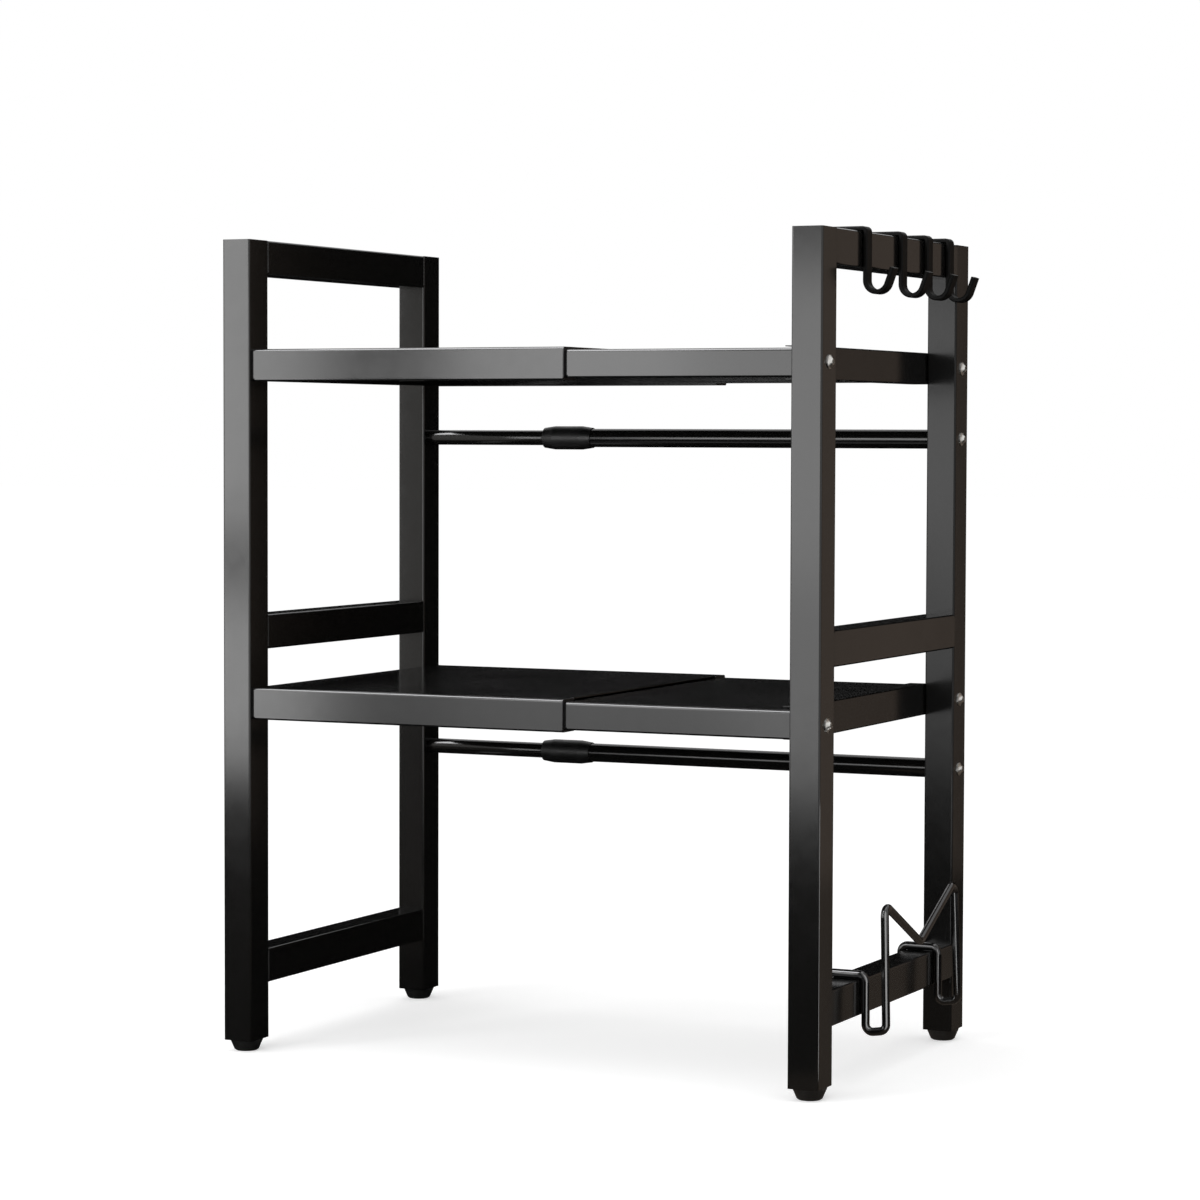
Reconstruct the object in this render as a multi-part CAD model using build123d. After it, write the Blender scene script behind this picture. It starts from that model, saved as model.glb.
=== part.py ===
"""Expandable two-shelf microwave stand in powder-coated steel.

Two welded side frames carry two shelves.  Each shelf is a wide outer half on the left and
a slimmer inner half on the right that slides inside it, so the stand changes its width.
A telescoping rod below each shelf keeps things from sliding out at the back.  Four loose
hooks hang on the right top rail and a bent wire board holder hangs on the right bottom rail.

Millimetres.  X to the right, Y to the back, Z up, the floor at Z = 0.  The pieces are
modelled about the middle of the stand and moved at the end, so that the origin is the
middle of the whole part's box, on the floor.
"""
from build123d import *
import math
import os

# ---- driving dimensions -------------------------------------------------------------
# side frames
stand_width = 640.0          # over the outer faces of the side frames, pulled out
stand_depth = 404.0          # front face to back face of the posts
post_length = 800.0
post_width = 31.0            # post section along X, also the rails' width
post_depth = 36.5            # post section along Y
rail_height = 34.3           # side rails, along Z
tube_wall = 1.2
tube_radius = 2.0            # outer corner of the tubes
bottom_rail_clear = 66.7     # floor to underside of the bottom side rail
guard_rail_gap = 37.2        # lower deck to underside of the guard rail

# feet
foot_height = 11.5
foot_base_radius = 11.75
foot_top_radius = 16.7
foot_inset = 0.4             # foot rim behind the post faces
foot_edge = 1.4              # bevel at the floor
foot_stem = 14.0             # plug inside the post
foot_stem_wall = 2.2
plug_clearance = 0.15        # plastic plugs in their tubes, all round

# shelves
upper_deck_height = 702.8    # floor to the top of the outer deck
lower_deck_height = 366.2
shelf_height = 31.8          # outer half with its deck
inner_shelf_height = 27.1    # inner half with its deck
sheet = 1.0                  # channels and decks
sheet_bend = 1.8             # outer bend of the channels
channel_flange = 25.0        # flanges of the front and rear channels
end_flange = 18.0            # flanges of the end channels
shelf_recess = 4.5           # shelf front behind the posts' front faces
outer_length = 342.0         # outer half, from its post to its mouth
shelf_overlap = 75.0         # inner half inside the outer one, pulled out
slide_gap_top = 0.6          # inner deck below the outer channel's top flange
slide_gap_face = 2.0         # inner deck's front face behind the outer web
width_travel = 135.0         # the right half slides in by this much

# plastic glides in the mouths of the outer channels
glide_depth = 20.0
glide_rim = 1.0
glide_clearance = 0.1

# stiffeners under the decks
hat_width = 24.0
hat_height = 14.0
hat_flange = 9.0
outer_hat_from_post = 50.0   # centre line, from the left post
inner_hat_from_post = 95.0   # from the right post
inner_hat_from_tail = 30.0   # from the hidden end of the inner half

# rods at the back
rod_drop = 71.5              # rod below the middle of its shelf
outer_rod_diameter = 19.6
inner_rod_diameter = 16.0
rod_wall = 1.2
collar_length = 56.0
collar_diameter = 25.0
collar_end_diameter = 21.6
collar_taper = 12.0          # tapered stretch at each end
collar_seat = 50.0           # outer rod inside the collar
collar_post_gap = 3.5        # collar to left post, pushed in
rod_clearance = 0.08         # radial, inner rod in the collar
rod_overlap = 58.0           # inner rod beyond the collar, pulled out
rod_plug_length = 16.0
rod_plug_setback = 0.5       # plug inside the rod's end
rod_tip_length = 18.0
rod_tip_flange = 2.0

# screws and weld nuts
screw_diameter = 6.0
screw_length = 39.0          # under the head
screw_head_diameter = 13.4
screw_head_height = 3.8
screw_head_rim = 0.9         # straight edge of the head
screw_head_flat = 5.6        # diameter of the flat round the socket
screw_head_bulge = 0.3       # of the dome between rim and flat
screw_socket = 4.0           # across flats
screw_socket_depth = 2.2
screw_hole = 6.5
thread_clearance = 0.02      # radial, screw in nut or plug
end_tab = 2.0                # plate that closes a channel's end
nut_across_flats = 10.0
nut_height = 5.0

# hooks on the top rail
hook_centres = (-93.9, 2.3, 74.9, 137.2)   # along Y
hook_width = 14.4
hook_thickness = 4.5
hook_edge = 1.2              # bevel of the band
hook_fit = 0.3               # around the rail
hook_bend = 3.2              # centre line, over the rail
hook_inner_leg = 24.0        # below the top of the rail, inside
hook_drop = 57.2             # rail top to the J's lowest centre line
hook_bowl = 11.0             # centre-line radius of the J
hook_bowl_turn = 160.0       # degrees
hook_tip = 16.5              # straight end of the J

# wire board holder on the bottom rail
wire_diameter = 8.0
wire_fit = 0.3               # around the rail
holder_centre = 11.5         # along Y
holder_leg_reach = 102.0     # legs from the centre, at the bottom
holder_peak_reach = 99.0     # peaks from the centre
holder_slot = 21.0           # rail side to leg, centre lines, at the bottom
holder_lean = 3.5            # peaks nearer to the frame than the leg bottoms
holder_lip = 24.0            # inner end below the top of the rail
holder_foot_drop = 16.7      # inner bend below the underside of the rail
holder_foot_rise = 3.1       # outer bend above the inner one
holder_peak_rise = 120.5     # peak above the outer bend
holder_valley_drop = 48.5    # valley below the peaks
holder_bend = 7.0            # centre-line radii
holder_peak_bend = 8.0

past = 1.0                   # cutters run this far past the faces they cut

# ---- worked-out places --------------------------------------------------------------
side_x = stand_width / 2                       # outer face of a side frame
bay_x = side_x - post_width                    # inner face of a side frame
front_y = stand_depth / 2
post_x = side_x - post_width / 2
post_y = front_y - post_depth / 2
rail_y = front_y - post_depth                  # rails run between the posts
frame_top = foot_height + post_length
guard_rail_base = lower_deck_height + guard_rail_gap
top_rail_base = frame_top - rail_height

shelf_y = front_y - shelf_recess - sheet       # outer web, behind the deck's folded front
inner_y = shelf_y - 2 * sheet - slide_gap_face  # inner web, likewise
flange_y = shelf_y - channel_flange            # ends of the flanges
mouth_x = outer_length - bay_x                 # right end of the outer half
tail_x = mouth_x - shelf_overlap               # hidden end of the inner half
inner_drop = 2 * sheet + slide_gap_top         # inner deck below the outer one
deck_bend = sheet_bend + sheet                 # decks fold round the channels' bends
screw_drop = shelf_height / 2                  # screws below the outer deck

outer_rod_radius = outer_rod_diameter / 2
inner_rod_radius = inner_rod_diameter / 2
rod_bore = outer_rod_radius - rod_wall
collar_x = collar_post_gap + width_travel - bay_x
outer_rod_x = collar_x + collar_length - collar_seat
inner_rod_x = collar_x + collar_length + rod_overlap
wire_radius = wire_diameter / 2


# ---- sections and small forms -------------------------------------------------------
def tube_faces(width, height, wall, radius):
    """Outer and inner faces of a rectangular tube, centred on the drawing plane."""
    outer = RectangleRounded(width, height, radius)
    inner = RectangleRounded(width - 2 * wall, height - 2 * wall, radius - wall)
    return outer, inner


def c_section(flange, height, web, top, bottom, bend, inner_bend):
    """C profile: web along the drawing's left edge, flanges running right, base at zero."""
    rim = Pos(flange / 2, height / 2) * Rectangle(flange, height)
    rim = fillet(rim.vertices().group_by(Axis.X)[0], bend)
    bay = Pos(web + flange / 2, (height - top + bottom) / 2) * Rectangle(flange, height - top - bottom)
    bay = fillet(bay.vertices().group_by(Axis.X)[0], inner_bend)
    return rim - bay


def along_x(section, start, length, y, z):
    """Run a section along +X.  Its left edge is the front, at y, and its base is at z."""
    plane = Plane(origin=(start, y, z), x_dir=(0, 1, 0), z_dir=(1, 0, 0))
    return extrude(plane * section, length)


def rod_x(radius, start, end, y=0.0, z=0.0):
    """Round bar along X from start to end."""
    plane = Plane(origin=(start, y, z), x_dir=(0, 1, 0), z_dir=(1, 0, 0))
    return extrude(plane * Circle(radius), end - start)


def to_left(shape):
    return mirror(shape, about=Plane.YZ)


def to_back(shape):
    return mirror(shape, about=Plane.XZ)


def grouped(shapes):
    """Several separate solids that share one node."""
    return Compound(children=[solid for shape in shapes for solid in shape.solids()])


# ---- side frames --------------------------------------------------------------------
deck_heights = {"upper": upper_deck_height, "lower": lower_deck_height}


def shelf_screw_height(level):
    return deck_heights[level] - screw_drop


def rod_height(level):
    return shelf_screw_height(level) - rod_drop


def post(with_rods):
    """Right post at the front: a tube with a closed top and through holes for the screws."""
    outer, inner = tube_faces(post_width, post_depth, tube_wall, tube_radius)
    body = extrude(outer, post_length) - extrude(inner, post_length - tube_wall)
    body = Pos(post_x, -post_y, foot_height) * body
    heights = [shelf_screw_height(level) for level in deck_heights]
    if with_rods:
        heights += [rod_height(level) for level in deck_heights]
    for height in heights:
        body -= rod_x(screw_hole / 2, bay_x - past, side_x + past, -post_y, height)
    return body


def side_rail(base):
    """Right side rail between the posts, open at its ends, where it is welded to them."""
    outer, inner = tube_faces(post_width, rail_height, tube_wall, tube_radius)
    plane = Plane(origin=(post_x, -rail_y, base + rail_height / 2), x_dir=(1, 0, 0), z_dir=(0, 1, 0))
    return extrude(plane * (outer - inner), 2 * rail_y)


def foot():
    """Tapered plastic foot of the right front post, with a hollow plug inside the tube."""
    taper = Pos(0, 0, foot_height / 2) * Cone(foot_base_radius, foot_top_radius, foot_height)
    taper = chamfer(taper.edges().group_by(Axis.Z)[0], foot_edge)
    rim = RectangleRounded(post_width - 2 * foot_inset, post_depth - 2 * foot_inset, tube_radius)
    taper = taper & extrude(rim, foot_height)
    inset = 2 * (tube_wall + plug_clearance)
    stem = Rectangle(post_width - inset, post_depth - inset)
    stem = chamfer(stem.vertices(), tube_radius - tube_wall)
    stem -= Rectangle(post_width - inset - 2 * foot_stem_wall, post_depth - inset - 2 * foot_stem_wall)
    return Pos(post_x, -post_y, 0) * (taper + Pos(0, 0, foot_height) * extrude(stem, foot_stem))


def frame_nodes():
    """Both side frames and their feet."""
    nodes = {}
    front_post, rear_post = post(False), to_back(post(True))
    rails = {
        "top_rail": side_rail(top_rail_base),
        "guard_rail": side_rail(guard_rail_base),
        "bottom_rail": side_rail(bottom_rail_clear),
    }
    right = {"front_post": front_post, "rear_post": rear_post, **rails}
    right["front_foot"] = foot()
    right["rear_foot"] = to_back(foot())
    for name, shape in right.items():
        nodes["right_" + name] = shape
        nodes["left_" + name] = to_left(shape)
    return nodes


# ---- shelves ------------------------------------------------------------------------
def screw_bore(z):
    """Cutter for a shelf screw through an end tab, on the right."""
    return rod_x(screw_hole / 2, bay_x - end_tab - past, bay_x + past, -post_y, z)


def tab_section(flange, height):
    """Outline of a channel, filled, for the tab that closes its end."""
    plate = Pos(flange / 2, height / 2) * Rectangle(flange, height)
    return fillet(plate.vertices().group_by(Axis.X)[0], sheet_bend)


def outer_channel(z):
    """Front channel of the outer half: C-shaped, open to the back, with a tab on its left end."""
    height = shelf_height - sheet
    section = c_section(channel_flange, height, sheet, sheet, sheet, sheet_bend, sheet_bend - sheet)
    base = z - shelf_height
    body = along_x(section, -bay_x, outer_length, -shelf_y, base)
    body += along_x(tab_section(channel_flange, height), -bay_x, end_tab, -shelf_y, base)
    return body - to_left(screw_bore(z - screw_drop))


def inner_channel(z):
    """Front channel of the inner half, with a tab on its right end."""
    height = inner_shelf_height - sheet
    flange = inner_y - flange_y
    section = c_section(flange, height, sheet, sheet, sheet, sheet_bend, sheet_bend - sheet)
    base = z - inner_drop - inner_shelf_height
    body = along_x(section, tail_x, bay_x - tail_x, -inner_y, base)
    body += along_x(tab_section(flange, height), bay_x - end_tab, end_tab, -inner_y, base)
    return body - screw_bore(z - screw_drop)


def end_channel(z, height):
    """Right end channel, open to the left, between the flanges of the front and rear channels."""
    section = c_section(end_flange, height, sheet, sheet, sheet, sheet_bend, sheet_bend - sheet)
    plane = Plane(origin=(bay_x, -flange_y, z - shelf_height), x_dir=(-1, 0, 0), z_dir=(0, 1, 0))
    return extrude(plane * section, 2 * flange_y)


def deck(start, end, half_depth, top, height):
    """Deck panel, folded down over the faces of its channels to where they bend under."""
    fold = height - deck_bend
    panel = Pos(0, -fold / 2) * Rectangle(2 * (half_depth + sheet), fold)
    panel = fillet(panel.vertices().group_by(Axis.Y)[-1], deck_bend)
    bay = Pos(0, -(fold + sheet) / 2) * Rectangle(2 * half_depth, fold - sheet)
    bay = fillet(bay.vertices().group_by(Axis.Y)[-1], sheet_bend)
    plane = Plane(origin=(start, 0, top), x_dir=(0, 1, 0), z_dir=(1, 0, 0))
    return extrude(plane * (panel - bay), end - start)


def stiffener(x, top):
    """Top-hat section across the shelf, its flanges against the deck's underside."""
    hat = Pos(0, -sheet / 2) * Rectangle(hat_width + 2 * hat_flange, sheet)
    hat += Pos(0, -hat_height / 2) * Rectangle(hat_width, hat_height)
    hat -= Pos(0, -(hat_height - sheet) / 2) * Rectangle(hat_width - 2 * sheet, hat_height - sheet)
    plane = Plane(origin=(x, flange_y, top), x_dir=(1, 0, 0), z_dir=(0, -1, 0))
    return extrude(plane * hat, 2 * flange_y)


def glide(z):
    """Plastic liner in the mouth of the outer half, with a thin rim on the edges of its sheets."""
    over_inner = inner_drop - glide_clearance
    under_inner = shelf_height - inner_drop - inner_shelf_height - glide_clearance
    web = slide_gap_face - glide_clearance
    rim = c_section(
        channel_flange + sheet, shelf_height, web + 2 * sheet,
        over_inner, under_inner, deck_bend, deck_bend)
    liner = c_section(
        channel_flange - sheet, shelf_height - 3 * sheet, web,
        over_inner - 2 * sheet, under_inner - sheet, sheet, deck_bend)
    base = z - shelf_height
    body = along_x(rim, mouth_x, glide_rim, -shelf_y - sheet, base)
    return body + along_x(liner, mouth_x - glide_depth, glide_depth, sheet - shelf_y, base + sheet)


def shelf_nodes(level):
    """Both halves of one shelf."""
    z = deck_heights[level]
    inner_top = z - inner_drop
    nodes = {
        "outer_front_channel": outer_channel(z),
        "outer_rear_channel": to_back(outer_channel(z)),
        "outer_end_channel": to_left(end_channel(z, shelf_height - sheet)),
        "outer_deck": deck(-bay_x, mouth_x, shelf_y, z, shelf_height),
        "outer_stiffener": stiffener(outer_hat_from_post - bay_x, z - sheet),
        "front_glide": glide(z),
        "rear_glide": to_back(glide(z)),
        "inner_front_channel": inner_channel(z),
        "inner_rear_channel": to_back(inner_channel(z)),
        "inner_end_channel": end_channel(z, shelf_height),
        "inner_deck": deck(tail_x, bay_x - sheet, inner_y, inner_top, inner_shelf_height),
        "inner_stiffeners": grouped([
            stiffener(bay_x - inner_hat_from_post, inner_top - sheet),
            stiffener(tail_x + inner_hat_from_tail, inner_top - sheet),
        ]),
    }
    return {f"{level}_{name}": shape for name, shape in nodes.items()}


# ---- rods at the back ---------------------------------------------------------------
def pipe_x(radius, bore, start, end, z):
    body = rod_x(radius, start, end, post_y, z)
    return body - rod_x(bore, start - past, end + past, post_y, z)


def collar(z):
    """Plastic collar on the outer rod's end: a sleeve with tapered ends that guides the inner rod."""
    far = collar_x + collar_length
    ends = (collar_x, far)
    shoulders = (collar_x + collar_taper, far - collar_taper)
    profile = Polyline(
        (ends[0], 0), (ends[0], collar_end_diameter / 2),
        (shoulders[0], collar_diameter / 2), (shoulders[1], collar_diameter / 2),
        (ends[1], collar_end_diameter / 2), (ends[1], 0), close=True)
    body = Pos(0, post_y, z) * revolve(Plane.XY * make_face(profile), Axis.X)
    body -= rod_x(inner_rod_radius + rod_clearance, collar_x - past, far + past, post_y, z)
    return body - rod_x(outer_rod_radius, outer_rod_x, far + past, post_y, z)


def rod_tip(z):
    """Plastic bush on the inner rod's free end, running in the outer rod."""
    radius = rod_bore - glide_clearance
    bore = inner_rod_radius - rod_wall - plug_clearance
    cap = rod_x(radius, inner_rod_x, inner_rod_x + rod_tip_flange, post_y, z)
    return cap + rod_x(bore, inner_rod_x - rod_tip_length, inner_rod_x, post_y, z)


def rod_plug(bore, z):
    """Threaded plug in the right end of a rod, for the post's screw."""
    stop = bay_x - rod_plug_setback
    plug = rod_x(bore, stop - rod_plug_length, stop, post_y, z)
    return plug - rod_x(screw_diameter / 2 + thread_clearance, bay_x - screw_length, bay_x, post_y, z)


def rod_nodes():
    nodes = {}
    heights = {level: rod_height(level) for level in deck_heights}
    for level, z in heights.items():
        nodes[f"{level}_back_rod_outer"] = pipe_x(outer_rod_radius, rod_bore, outer_rod_x, bay_x, z)
        nodes[f"{level}_back_rod_inner"] = pipe_x(
            inner_rod_radius, inner_rod_radius - rod_wall, -bay_x, inner_rod_x, z)
        nodes[f"{level}_rod_collar"] = collar(z)
        nodes[f"{level}_rod_tip"] = rod_tip(z)
    nodes["right_rod_plugs"] = grouped([rod_plug(rod_bore, z) for z in heights.values()])
    narrow = inner_rod_radius - rod_wall
    nodes["left_rod_plugs"] = grouped([to_left(rod_plug(narrow, z)) for z in heights.values()])
    return nodes


# ---- screws and nuts ----------------------------------------------------------------
def screw(y, z):
    """Button-head screw through the right post, with a hexagon socket."""
    rim = (screw_head_rim, screw_head_diameter / 2)
    flat = (screw_head_height, screw_head_flat / 2)
    edge = Polyline((0, 0), (0, rim[1]), rim)
    dome = SagittaArc(rim, flat, -screw_head_bulge)
    top = Polyline(flat, (screw_head_height, 0), (0, 0))
    head = Pos(side_x, y, z) * revolve(make_face(edge + dome + top), Axis.X)
    plane = Plane(origin=(side_x + screw_head_height, y, z), x_dir=(0, 1, 0), z_dir=(-1, 0, 0))
    socket = RegularPolygon(screw_socket / 2, 6, major_radius=False)
    head -= extrude(plane * socket, screw_socket_depth)
    return head + rod_x(screw_diameter / 2, side_x - screw_length, side_x, y, z)


def weld_nut(y, z):
    """Hexagon nut behind a channel's end tab, on the right."""
    seat = bay_x - end_tab
    plane = Plane(origin=(seat, y, z), x_dir=(0, 1, 0), z_dir=(-1, 0, 0))
    nut = extrude(plane * RegularPolygon(nut_across_flats / 2, 6, major_radius=False), nut_height)
    return nut - rod_x(screw_diameter / 2 + thread_clearance, seat - nut_height - past, seat + past, y, z)


def fastener_nodes():
    shelf_places = [(y, shelf_screw_height(level)) for level in deck_heights for y in (-post_y, post_y)]
    rod_places = [(post_y, rod_height(level)) for level in deck_heights]
    screws = [screw(y, z) for y, z in shelf_places + rod_places]
    nuts = [weld_nut(y, z) for y, z in shelf_places]
    return {
        "right_screws": grouped(screws),
        "left_screws": grouped([to_left(part) for part in screws]),
        "right_weld_nuts": grouped(nuts),
        "left_weld_nuts": grouped([to_left(part) for part in nuts]),
    }


# ---- hooks --------------------------------------------------------------------------
def hook(y):
    """Flat plastic hook: a saddle over the top rail that runs down into a J."""
    offset = hook_fit + hook_thickness / 2
    inside, outside = bay_x - offset, side_x + offset
    top = frame_top + offset
    bowl_z = frame_top - hook_drop + hook_bowl
    saddle = FilletPolyline(
        (inside, frame_top - hook_inner_leg), (inside, top), (outside, top), (outside, bowl_z),
        radius=hook_bend)
    bowl = CenterArc((outside + hook_bowl, bowl_z), hook_bowl, 180, hook_bowl_turn)
    heading = math.radians(hook_bowl_turn - 90)
    end = bowl @ 1
    tip_end = (end.X + hook_tip * math.cos(heading), end.Y + hook_tip * math.sin(heading))
    path = Plane.XZ * Wire([*saddle.edges(), bowl.edge(), Line(end, tip_end).edge()])
    plane = Plane(origin=(inside, 0, frame_top - hook_inner_leg), x_dir=(1, 0, 0), z_dir=(0, 0, 1))
    section = Rectangle(hook_thickness, hook_width)
    band = sweep(plane * chamfer(section.vertices(), hook_edge), path=path)
    return Pos(0, y, 0) * band


# ---- board holder -------------------------------------------------------------------
def board_holder():
    """One bent wire: over the bottom rail, down, outwards under the board and up into an M."""
    offset = wire_fit + wire_radius
    inside, outside = bay_x - offset, side_x + offset
    rail_top = bottom_rail_clear + rail_height
    over = rail_top + offset
    foot_z = bottom_rail_clear - holder_foot_drop
    leg_x = outside + holder_slot
    peak = (leg_x - holder_lean, holder_peak_reach, foot_z + holder_foot_rise + holder_peak_rise)
    side = [
        (inside, holder_leg_reach, rail_top - holder_lip),
        (inside, holder_leg_reach, over),
        (outside, holder_leg_reach, over),
        (outside, holder_leg_reach, foot_z),
        (leg_x, holder_leg_reach, foot_z + holder_foot_rise),
        peak,
    ]
    valley = (peak[0], 0, peak[2] - holder_valley_drop)
    route = [(x, -y, z) for x, y, z in side] + [valley] + side[::-1]
    bends = [holder_bend] * 4 + [holder_peak_bend] * 3 + [holder_bend] * 4
    path = FilletPolyline(*route, radius=bends)
    plane = Plane(origin=route[0], x_dir=(1, 0, 0), z_dir=(0, 0, 1))
    return Pos(0, holder_centre, 0) * sweep(plane * Circle(wire_radius), path=path)


# ---- all nodes ----------------------------------------------------------------------
def all_nodes():
    nodes = frame_nodes()
    for level in deck_heights:
        nodes.update(shelf_nodes(level))
    nodes.update(rod_nodes())
    nodes.update(fastener_nodes())
    for number, y in enumerate(hook_centres, 1):
        nodes[f"hook_{number}"] = hook(y)
    nodes["board_holder"] = board_holder()
    return nodes


def main():
    os.makedirs("parts", exist_ok=True)
    nodes = all_nodes()
    boxes = [shape.bounding_box() for shape in nodes.values()]
    middle = (min(box.min.X for box in boxes) + max(box.max.X for box in boxes)) / 2
    for name, shape in nodes.items():
        export_step(Pos(-middle, 0, 0) * shape, f"parts/{name}.step")
    print("stand's middle moved from the origin by", round(-middle, 4), "mm")


main()
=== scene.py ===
"""Looks of the expandable two-shelf microwave stand: finishes, welds, light and camera.

Everything is in metres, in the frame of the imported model: X right, Y back, Z up, floor at 0.
"""
import math
import random

import bmesh
import bpy
from mathutils import Matrix, Vector


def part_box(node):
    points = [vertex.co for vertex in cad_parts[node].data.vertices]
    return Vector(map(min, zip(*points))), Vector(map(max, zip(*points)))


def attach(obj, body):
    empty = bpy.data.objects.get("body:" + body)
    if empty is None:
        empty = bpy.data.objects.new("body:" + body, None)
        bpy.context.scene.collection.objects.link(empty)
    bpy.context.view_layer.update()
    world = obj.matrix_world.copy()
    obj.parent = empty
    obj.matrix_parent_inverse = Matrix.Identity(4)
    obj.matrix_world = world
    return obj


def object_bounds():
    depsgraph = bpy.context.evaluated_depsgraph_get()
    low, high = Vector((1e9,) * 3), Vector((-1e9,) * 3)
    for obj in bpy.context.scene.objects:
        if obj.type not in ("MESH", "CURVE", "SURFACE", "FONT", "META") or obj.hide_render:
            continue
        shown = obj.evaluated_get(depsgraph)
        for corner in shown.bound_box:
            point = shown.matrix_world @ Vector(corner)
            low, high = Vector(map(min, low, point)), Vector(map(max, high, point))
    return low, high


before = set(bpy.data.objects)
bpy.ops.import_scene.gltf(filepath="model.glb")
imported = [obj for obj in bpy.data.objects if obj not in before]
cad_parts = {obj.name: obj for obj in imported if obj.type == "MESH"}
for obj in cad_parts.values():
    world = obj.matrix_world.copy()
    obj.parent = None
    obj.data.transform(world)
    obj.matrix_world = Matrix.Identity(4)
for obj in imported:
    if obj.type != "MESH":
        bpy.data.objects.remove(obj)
cad_low, cad_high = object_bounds()
scene = bpy.context.scene
MM = 0.001

# ---- camera fitted to the photograph -------------------------------------------------
PHOTO_PIXELS = 1200
FOCAL_PIXELS = 3546.6
CAMERA_PLACE = (1.5087, -3.2415, 0.6205)
CAMERA_YAW = 0.439               # radians, turned to the left of +Y
CAMERA_PITCH = 0.047             # radians, down
CAMERA_ROLL = 0.003
SENSOR_WIDTH = 36.0
VIEW_LIMIT = 200

# ---- powder coat ---------------------------------------------------------------------
PEEL_DEPTH = 0.003 * MM          # of the orange peel
WAVE_DEPTH = 60 * PEEL_DEPTH     # of the slow waves under it
SPECKLE = 0.35 * MM
CLOUD = 90 * MM
SMEAR = 14 * MM
NEAR_BLACK = (0.0032, 0.0032, 0.0032)
SOFT_BLACK = (0.0052, 0.0052, 0.0052)

# ---- welds and hook tips -------------------------------------------------------------
BEAD_RADIUS = 1.3 * MM           # of a weld ripple
BEAD_PITCH = 1.5 * MM
BEAD_PROUD = 0.55                # share of the radius that stands out of the corner
BEAD_SIZES = (0.88, 1.1)         # smallest and largest ripple, as shares of the radius
BEAD_WANDER = 0.12               # a ripple's place sideways, as a share of the radius
BEAD_FLATNESS = 0.9              # of a ripple along the bead
BEAD_INSET = 3 * MM              # from the rail's top and bottom
TUBE_CORNER = 2.0 * MM           # radius of the tubes' edges, filled at ground welds
GROUND_DEPTH = 0.02 * MM         # ground weld below the tubes' faces
GROUND_LAP = 0.1 * TUBE_CORNER   # over the rail's end
GROUND_REACH = 1.05 * TUBE_CORNER   # into the post's face
GROUND_BELLY = 0.35 * TUBE_CORNER   # into the post at half depth
GROUND_TAPER = 0.6 * TUBE_CORNER    # at the weld's top and bottom
GROUND_INSET = 0.5 * TUBE_CORNER    # from the rail's top and bottom
HOOK_TIP_ROUNDING = 1.5 * MM
HOOK_TIP_ANGLE = math.radians(60)

# ---- stage ---------------------------------------------------------------------------
FLOOR_SIZE = 60
FLOOR_DROP = 0.2 * MM            # below the feet
FLOOR_GREY = 0.80
FLOOR_GLOW = 0.45                # the floor's own brightness, seen by camera and reflections
WORLD_LEVEL = 0.70               # of the light that falls on the object
FRONT_DISTANCE = 1.5             # from the stand's front to the front softboxes

# Softboxes in front of the stand: name, reach in X, reach in Z, brightness. The gaps and steps
# between them are the darker bands that the rails and posts reflect.
FRONT_SOFTBOXES = (
    ("left_strip_high", (-1.70, -1.08), (0.465, 1.60), 4.8),
    ("left_strip_low", (-1.70, -1.08), (0.110, 0.39), 4.9),
    ("front_high_left", (-0.88, -0.50), (0.44, 1.50), 4.7),
    ("front_high_right", (-0.50, 0.25), (0.42, 0.86), 3.2),
    ("front_low_left", (-0.88, -0.42), (0.12, 0.40), 1.2),
    ("front_low_right", (-0.42, 0.30), (0.10, 0.42), 2.2),
)
TOP_BOX_PLACE = (0.1, -0.3, 2.6)
TOP_BOX_SIZE = (2.0, 1.6)
TOP_BOX_POWER = 16

# Cards that only reflections see: their brightness there.
CARD_TONES = {
    "black_card": (0.004, 0.004, 0.004),
    "warm_card": (0.24, 0.19, 0.155),
    "sky_card": (12.0, 12.0, 12.2),
    "sheen_card": (4.5, 4.5, 4.5),
    "grey_card": (0.60, 0.58, 0.55),
    "deep_card": (0.12, 0.11, 0.10),
    "ground_card": (0.13, 0.105, 0.085),
}
UP, DOWN, BACK = (0, 0, 1), (0, 0, -1), (0, 1, 0)
FROM_RIGHT = (-0.6, -0.8, 0)
# name, centre, width, height, direction that it faces, tone
CARDS = (
    ("ceiling_card", (-1.25, -1.15, 2.5), 2.1, 2.1, DOWN, "sky_card"),
    ("wire_card", (0.398, -0.16, 0.14), 0.10, 0.26, BACK, "sheen_card"),
    ("left_bay_card", (-0.46, -0.17, 0.65), 0.17, 0.70, BACK, "grey_card"),
    ("left_bay_low_card", (-0.46, -0.17, 0.15), 0.17, 0.30, BACK, "deep_card"),
    ("front_skirt", (-0.75, cad_low.y - FRONT_DISTANCE, 0.06), 2.8, 0.12, BACK, "black_card"),
    ("floor_card", (-0.2, 0.2, 0.0005), 4.4, 3.9, UP, "black_card"),
    ("right_card", (1.37, 1.01, 0.6), 1.6, 1.7, FROM_RIGHT, "warm_card"),
    ("rear_flag", (0.11, 1.955, 0.6), 1.55, 1.7, FROM_RIGHT, "black_card"),
    ("back_flag", (-1.6, 1.9, 0.5), 2.4, 1.2, (0.3, -0.95, 0), "black_card"),
    ("warm_ground_card", (0.36, 0.90, 0.001), 0.48, 2.2, UP, "ground_card"),
)


# ---- small helpers ------------------------------------------------------------------
def nodes_of(*endings):
    """CAD nodes whose names end with any of these."""
    return [o for name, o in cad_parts.items() if name.endswith(endings)]


def hook_nodes():
    return [o for name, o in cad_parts.items() if name.startswith("hook_")]


def add_object(name, data):
    piece = bpy.data.objects.new(name, data)
    scene.collection.objects.link(piece)
    return piece


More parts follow.
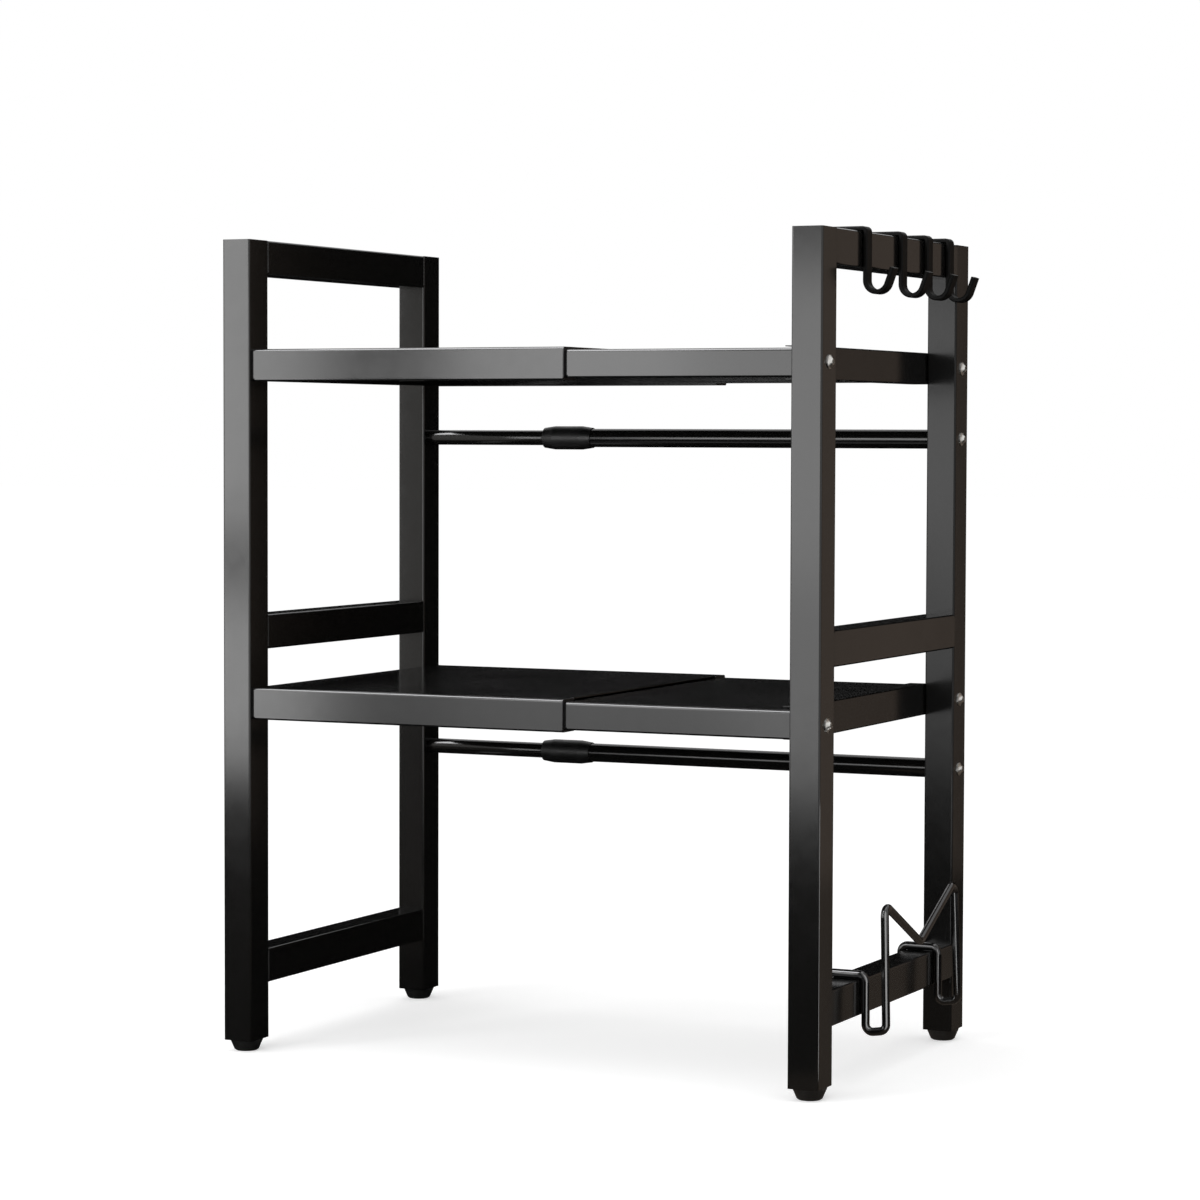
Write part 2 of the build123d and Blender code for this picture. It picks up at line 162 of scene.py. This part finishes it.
class Finish:
    """A material built on one Principled shader, with object coordinates in metres."""

    def __init__(self, name, **constants):
        self.material = bpy.data.materials.new(name)
        self.material.use_nodes = True
        self.tree = self.material.node_tree
        self.shader = self.tree.nodes["Principled BSDF"]
        self.place = self.tree.nodes.new("ShaderNodeTexCoord").outputs["Object"]
        for socket, value in constants.items():
            self.shader.inputs[socket.replace("_", " ")].default_value = value

    def link(self, source, target):
        self.tree.links.new(source, target)

    def stretched(self, scale):
        """Object coordinates stretched by a scale along each axis."""
        node = self.tree.nodes.new("ShaderNodeMapping")
        node.inputs["Scale"].default_value = scale
        self.link(self.place, node.inputs["Vector"])
        return node.outputs["Vector"]

    def noise(self, size, detail=2.0, rough=0.5, vector=None):
        """Noise whose features are about as large as size, in metres."""
        node = self.tree.nodes.new("ShaderNodeTexNoise")
        node.inputs["Scale"].default_value = 1 / size
        node.inputs["Detail"].default_value = detail
        node.inputs["Roughness"].default_value = rough
        self.link(vector or self.place, node.inputs["Vector"])
        return node.outputs["Fac"]

    def cells(self, size):
        node = self.tree.nodes.new("ShaderNodeTexVoronoi")
        node.inputs["Scale"].default_value = 1 / size
        self.link(self.place, node.inputs["Vector"])
        return node.outputs["Distance"]

    def blend(self, value, low, high, start=0.3, end=0.7):
        """Maps a value between start and end to the range from low to high."""
        node = self.tree.nodes.new("ShaderNodeMapRange")
        limits = {"From Min": start, "From Max": end, "To Min": low, "To Max": high}
        for socket, number in limits.items():
            node.inputs[socket].default_value = number
        self.link(value, node.inputs["Value"])
        return node.outputs["Result"]

    def colours(self, value, first, second, start=0.3, end=0.7):
        node = self.tree.nodes.new("ShaderNodeValToRGB")
        low, high = node.color_ramp.elements
        low.position, high.position = start, end
        low.color, high.color = (*first, 1), (*second, 1)
        self.link(value, node.inputs["Fac"])
        return node.outputs["Color"]

    def product(self, first, second):
        node = self.tree.nodes.new("ShaderNodeMath")
        node.operation = "MULTIPLY"
        self.link(first, node.inputs[0])
        self.link(second, node.inputs[1])
        return node.outputs["Value"]

    def bump(self, height, depth, strength=1.0, under=None):
        """Normal from a height, depth metres from its lowest to its highest."""
        node = self.tree.nodes.new("ShaderNodeBump")
        node.inputs["Strength"].default_value = strength
        node.inputs["Distance"].default_value = depth
        self.link(height, node.inputs["Height"])
        if under:
            self.link(under, node.inputs["Normal"])
        return node.outputs["Normal"]

    def use(self, **sources):
        for socket, source in sources.items():
            self.link(source, self.shader.inputs[socket.replace("_", " ")])
        return self.material


# ---- finishes -----------------------------------------------------------------------
def powder_coat(name, dark, light, roughness, grain, shine=0.5):
    """Satin powder coat: faint orange peel, fine speckle, soft handling marks."""
    coat = Finish(name, Specular_IOR_Level=shine)
    peel = coat.noise(grain, detail=2.0)
    speckle = coat.noise(SPECKLE, detail=1.0)
    cloud = coat.noise(CLOUD, detail=3.0)
    smear = coat.noise(SMEAR, detail=4.0, rough=0.65)
    waves = coat.bump(cloud, WAVE_DEPTH, strength=0.08)
    marks = coat.product(cloud, smear)
    return coat.use(
        Base_Color=coat.colours(speckle, dark, light, 0.25, 0.75),
        Roughness=coat.blend(marks, roughness - 0.015, roughness + 0.02, 0.12, 0.38),
        Normal=coat.bump(peel, PEEL_DEPTH, under=waves),
    )


def enamel(name, dark, light, roughness):
    """Glossy dipped enamel with slow waves where it ran along the wire."""
    coat = Finish(name, Coat_Weight=0.5, Coat_Roughness=0.08)
    runs = coat.noise(6 * MM, detail=2.0, vector=coat.stretched((1, 0.35, 0.35)))
    fine = coat.noise(0.8 * MM, detail=2.0)
    skin = coat.bump(fine, 0.01 * MM, under=coat.bump(runs, 0.12 * MM, strength=0.5))
    return coat.use(
        Base_Color=coat.colours(runs, dark, light),
        Roughness=coat.blend(fine, roughness - 0.05, roughness + 0.08),
        Normal=skin,
    )


def moulded_plastic(name, dark, light, roughness, grain, depth, shine=0.5):
    """Moulded plastic: a spark-eroded grain with a slightly uneven shine."""
    plastic = Finish(name, Specular_IOR_Level=shine)
    pits = plastic.cells(grain)
    cloud = plastic.noise(9 * MM, detail=3.0)
    return plastic.use(
        Base_Color=plastic.colours(cloud, dark, light),
        Roughness=plastic.blend(cloud, roughness - 0.06, roughness + 0.08),
        Normal=plastic.bump(pits, depth, strength=0.7),
    )


def plated_steel(name, dark, light):
    """Zinc-plated steel, turned on its face, with cloudy passivation."""
    steel = Finish(name, Metallic=1.0)
    cloud = steel.noise(2.2 * MM, detail=4.0)
    lines = steel.noise(0.25 * MM, detail=2.0, vector=steel.stretched((6, 1, 1)))
    return steel.use(
        Base_Color=steel.colours(cloud, dark, light),
        Roughness=steel.blend(lines, 0.2, 0.42),
        Normal=steel.bump(lines, 0.006 * MM),
    )


def tube_coat():
    dark, light = (0.0032, 0.0031, 0.0029), (0.0054, 0.0052, 0.0049)
    return powder_coat("tube_coat", dark, light, roughness=0.14, grain=0.9 * MM)


def sheet_coat():
    return powder_coat("sheet_coat", NEAR_BLACK, SOFT_BLACK, roughness=0.12, grain=1.1 * MM)


def shaded_end_coat():
    """Painted shade: a darker, duller copy of the coat on the end channels and on the rear post beside
    them.
    """
    dark, light = (0.0030, 0.0029, 0.0028), (0.0048, 0.0047, 0.0045)
    return powder_coat("shaded_end_coat", dark, light, roughness=0.16, grain=1.1 * MM, shine=0.25)


def deck_finish():
    return powder_coat("deck_finish", NEAR_BLACK, SOFT_BLACK, roughness=0.15, grain=1.2 * MM)


def wire_enamel():
    return enamel("wire_enamel", (0.0030, 0.0030, 0.0030), SOFT_BLACK, roughness=0.14)


def hook_plastic():
    dark, light = (0.0025, 0.0024, 0.0022), (0.0042, 0.0040, 0.0037)
    return moulded_plastic("hook_plastic", dark, light, 0.45, 0.5 * MM, depth=0.010 * MM, shine=0.08)


def foot_plastic():
    dark, light = (0.0050, 0.0050, 0.0047), (0.0085, 0.0085, 0.0080)
    return moulded_plastic("foot_plastic", dark, light, 0.45, 0.45 * MM, depth=0.03 * MM)


def guide_nylon():
    dark, light = (0.0035, 0.0035, 0.0035), (0.0060, 0.0060, 0.0060)
    return moulded_plastic("guide_nylon", dark, light, 0.40, 0.4 * MM, depth=0.02 * MM)


def zinc_plate():
    return plated_steel("zinc_plate", (0.52, 0.51, 0.48), (0.72, 0.71, 0.69))


def dress(objects, material):
    for o in objects:
        o.data.materials.clear()
        o.data.materials.append(material)


def dress_everything():
    """Every node gets its finish; the tubes' one is returned for the welds."""
    tubes = tube_coat()
    dress(nodes_of("_post", "_rail", "back_rod_outer", "back_rod_inner"), tubes)
    dress(nodes_of("_channel"), sheet_coat())
    # painted shade: the right rear post takes the darker, duller end coat, while the left rear post
    # keeps the tube coat
    dress(nodes_of("_end_channel", "right_rear_post"), shaded_end_coat())
    dress(nodes_of("_deck", "_stiffener", "_stiffeners"), deck_finish())
    dress(nodes_of("_foot"), foot_plastic())
    dress(nodes_of("_glide", "_collar", "_tip"), guide_nylon())
    dress(nodes_of("_screws", "_nuts", "_plugs"), zinc_plate())
    dress([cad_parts["board_holder"]], wire_enamel())
    dress(hook_nodes(), hook_plastic())
    return tubes


# ---- welds and hook tips --------------------------------------------------------------
def add_weld(name, mesh, smooth, material, body):
    """Object made from a bmesh, which it frees, riding on a body of the frame."""
    data = bpy.data.meshes.new(name)
    mesh.to_mesh(data)
    mesh.free()
    for polygon in data.polygons:
        polygon.use_smooth = smooth
    data.materials.append(material)
    piece = add_object(name, data)
    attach(piece, body)


def ripple_bead(name, start, end, outward, material, body):
    """A weld bead from start to end: overlapping ripples that stand out along outward."""
    run = end - start
    count = max(2, round(run.length / BEAD_PITCH))
    along = run.normalized()
    side = along.cross(outward).normalized()
    turn = Matrix((along, side, outward)).transposed().to_4x4()
    dice = random.Random(name)
    mesh = bmesh.new()
    for i in range(count + 1):
        size = BEAD_RADIUS * dice.uniform(*BEAD_SIZES)
        place = start + run * (i / count) - outward * size * (1 - BEAD_PROUD)
        place += side * dice.uniform(-BEAD_WANDER, BEAD_WANDER) * BEAD_RADIUS
        scale = Matrix.Diagonal((size * BEAD_FLATNESS, size, size, 1))
        ripple = Matrix.Translation(place) @ turn @ scale
        bmesh.ops.create_icosphere(mesh, subdivisions=2, radius=1, matrix=ripple)
    add_weld(name, mesh, True, material, body)


def ground_weld(name, corner, sideways, into_post, top, material, body):
    """Weld ground flush: it fills the groove along the post's rounded edge beside a rail."""
    skin = corner.x - sideways * GROUND_DEPTH
    root = corner.x - sideways * TUBE_CORNER
    middle_x = (skin + root) / 2
    near = corner.y - into_post * GROUND_LAP
    far = corner.y + into_post * GROUND_REACH
    middle_y = corner.y + into_post * GROUND_BELLY
    full = [(skin, near), (skin, far), (middle_x, middle_y), (root, near)]
    tapered = [(middle_x, near), (middle_x, middle_y), (middle_x, middle_y), (root, near)]
    levels = (
        (tapered, corner.z),
        (full, corner.z + GROUND_TAPER),
        (full, top - GROUND_TAPER),
        (tapered, top),
    )
    mesh = bmesh.new()
    rings = []
    for outline, z in levels:
        rings.append([mesh.verts.new((x, y, z)) for x, y in outline])
    for below, above in zip(rings, rings[1:]):
        for i in range(4):
            j = (i + 1) % 4
            mesh.faces.new((below[i], below[j], above[j], above[i]))
    mesh.faces.new(rings[0][::-1])
    mesh.faces.new(rings[-1])
    bmesh.ops.remove_doubles(mesh, verts=mesh.verts, dist=1e-6)
    bmesh.ops.recalc_face_normals(mesh, faces=mesh.faces)
    add_weld(name, mesh, False, material, body)


def weld_rails(material):
    """Each side rail is welded to its posts: a bead on the bay side, ground flush outside."""
    for side, sign in (("left", 1), ("right", -1)):
        body = f"{side}_half"
        inward = Vector((sign, 0, 0))
        for rail in ("top_rail", "guard_rail", "bottom_rail"):
            low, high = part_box(f"{side}_{rail}")
            bay_x, side_x = (high.x, low.x) if sign > 0 else (low.x, high.x)
            ground_top = high.z - GROUND_INSET
            for end, y, into_post in (("front", low.y, -1), ("rear", high.y, 1)):
                name = f"{side}_{rail}_{end}"
                start = Vector((bay_x, y, low.z + BEAD_INSET))
                stop = Vector((bay_x, y, high.z - BEAD_INSET))
                ripple_bead(f"{name}_weld", start, stop, inward, material, body)
                corner = Vector((side_x, y, low.z + GROUND_INSET))
                ground_weld(f"{name}_ground_weld", corner, -sign, into_post, ground_top, material, body)


def round_hook_tips():
    """Moulded ends of the hooks, rounded; the band's own bevels are left as they are."""
    for hook in hook_nodes():
        bevel = hook.modifiers.new("tip", "BEVEL")
        bevel.width = HOOK_TIP_ROUNDING
        bevel.segments = 3
        bevel.limit_method = "ANGLE"
        bevel.angle_limit = HOOK_TIP_ANGLE


# ---- stage --------------------------------------------------------------------------
def stage_panel(name, centre, width, height, facing, material):
    """Flat panel whose width is level and whose face looks along facing."""
    facing = Vector(facing).normalized()
    across = Vector((0, 0, 1)).cross(facing)
    across = across.normalized() if across.length > 1e-6 else Vector((1, 0, 0))
    up = facing.cross(across)
    half_across, half_up = across * width / 2, up * height / 2
    corners = []
    for a, b in ((-1, -1), (1, -1), (1, 1), (-1, 1)):
        corners.append(tuple(Vector(centre) + a * half_across + b * half_up))
    data = bpy.data.meshes.new(name)
    data.from_pydata(corners, [], [(0, 1, 2, 3)])
    data.materials.append(material)
    piece = add_object(name, data)
    return piece


def blank_material(name):
    """A material without a shader, its node tree and its surface socket."""
    material = bpy.data.materials.new(name)
    material.use_nodes = True
    tree = material.node_tree
    tree.nodes.clear()
    output = tree.nodes.new("ShaderNodeOutputMaterial")
    return material, tree, output.inputs["Surface"]


def seen_rays(tree):
    """1 for camera, glossy and transmission rays, 0 for the rest."""
    path = tree.nodes.new("ShaderNodeLightPath")
    total = path.outputs["Is Camera Ray"]
    for kind in ("Is Glossy Ray", "Is Transmission Ray"):
        larger = tree.nodes.new("ShaderNodeMath")
        larger.operation = "MAXIMUM"
        tree.links.new(total, larger.inputs[0])
        tree.links.new(path.outputs[kind], larger.inputs[1])
        total = larger.outputs["Value"]
    return total


def floor_material():
    """Pale floor: white where it is lit, with the stand's shadow kept."""
    material, tree, surface = blank_material("pale_floor")
    diffuse = tree.nodes.new("ShaderNodeBsdfDiffuse")
    diffuse.inputs["Color"].default_value = (FLOOR_GREY, FLOOR_GREY, FLOOR_GREY, 1)
    glow = tree.nodes.new("ShaderNodeEmission")
    glow.inputs["Color"].default_value = (1, 1, 1, 1)
    level = tree.nodes.new("ShaderNodeMath")
    level.operation = "MULTIPLY"
    level.inputs[1].default_value = FLOOR_GLOW
    tree.links.new(seen_rays(tree), level.inputs[0])
    tree.links.new(level.outputs["Value"], glow.inputs["Strength"])
    both = tree.nodes.new("ShaderNodeAddShader")
    tree.links.new(diffuse.outputs["BSDF"], both.inputs[0])
    tree.links.new(glow.outputs["Emission"], both.inputs[1])
    tree.links.new(both.outputs["Shader"], surface)
    return material


def card_material(name, glow):
    material, tree, surface = blank_material(name)
    light = tree.nodes.new("ShaderNodeEmission")
    light.inputs["Color"].default_value = (*glow, 1)
    tree.links.new(light.outputs["Emission"], surface)
    return material


def world_light(level):
    """White behind everything; the light that falls on the object is lower."""
    world = bpy.data.worlds.new("studio")
    scene.world = world
    world.use_nodes = True
    tree = world.node_tree
    background = tree.nodes["Background"]
    background.inputs["Color"].default_value = (1, 1, 1, 1)
    strength = tree.nodes.new("ShaderNodeMapRange")
    strength.inputs["To Min"].default_value = level
    strength.inputs["To Max"].default_value = 1.0
    tree.links.new(seen_rays(tree), strength.inputs["Value"])
    tree.links.new(strength.outputs["Result"], background.inputs["Strength"])


def softbox(name, centre, target, width, height, power):
    light = bpy.data.lights.new(name, "AREA")
    light.shape = "RECTANGLE"
    light.size, light.size_y = width, height
    light.energy = power
    piece = add_object(name, light)
    piece.location = centre
    piece.rotation_mode = "QUATERNION"
    piece.rotation_quaternion = (Vector(target) - Vector(centre)).to_track_quat("-Z", "Y")


def front_softbox(name, across, heights, brightness):
    """Upright softbox in front of the stand, facing it."""
    width, height = across[1] - across[0], heights[1] - heights[0]
    x, z = sum(across) / 2, sum(heights) / 2
    y = cad_low.y - FRONT_DISTANCE
    power = brightness * math.pi * width * height
    softbox(name, (x, y, z), (x, 0, z), width, height, power)


def set_cards():
    """Light and dark cards that shape what the black coat reflects, and nothing else."""
    tones = {name: card_material(name, glow) for name, glow in CARD_TONES.items()}
    for name, centre, width, height, facing, tone in CARDS:
        card = stage_panel(name, centre, width, height, facing, tones[tone])
        if name == "warm_ground_card":
            card.rotation_euler.z = -CAMERA_YAW    # along the view that the right side reflects
        card.visible_camera = False
        card.visible_shadow = False
        card.visible_diffuse = False


def set_stage():
    """Floor, world, softboxes and cards round the stand."""
    middle = (cad_low + cad_high) / 2
    floor_centre = (middle.x, middle.y, cad_low.z)
    floor = stage_panel("floor", floor_centre, FLOOR_SIZE, FLOOR_SIZE, UP, floor_material())
    floor.location.z = -FLOOR_DROP
    world_light(WORLD_LEVEL)
    for name, across, heights, brightness in FRONT_SOFTBOXES:
        front_softbox(name, across, heights, brightness)
    softbox("top_box", TOP_BOX_PLACE, middle, *TOP_BOX_SIZE, TOP_BOX_POWER)
    set_cards()


def set_camera():
    """Camera fitted to the photograph's straight edges."""
    sin_yaw, cos_yaw = math.sin(CAMERA_YAW), math.cos(CAMERA_YAW)
    sin_pitch, cos_pitch = math.sin(CAMERA_PITCH), math.cos(CAMERA_PITCH)
    ahead = Vector((-sin_yaw * cos_pitch, cos_yaw * cos_pitch, -sin_pitch))
    right = Vector((cos_yaw, sin_yaw, 0))
    up = right.cross(ahead)
    turned_right = right * math.cos(CAMERA_ROLL) + up * math.sin(CAMERA_ROLL)
    turned_up = up * math.cos(CAMERA_ROLL) - right * math.sin(CAMERA_ROLL)
    data = bpy.data.cameras.new("camera")
    data.sensor_width = SENSOR_WIDTH
    data.lens = FOCAL_PIXELS / PHOTO_PIXELS * SENSOR_WIDTH
    data.clip_end = VIEW_LIMIT
    camera = add_object("camera", data)
    turn = Matrix((turned_right, turned_up, -ahead)).transposed().to_4x4()
    camera.matrix_world = Matrix.Translation(CAMERA_PLACE) @ turn
    scene.camera = camera


# ---- the scene ----------------------------------------------------------------------
tube_finish = dress_everything()
weld_rails(tube_finish)
round_hook_tips()
set_stage()
set_camera()
scene.view_settings.view_transform = "Standard"
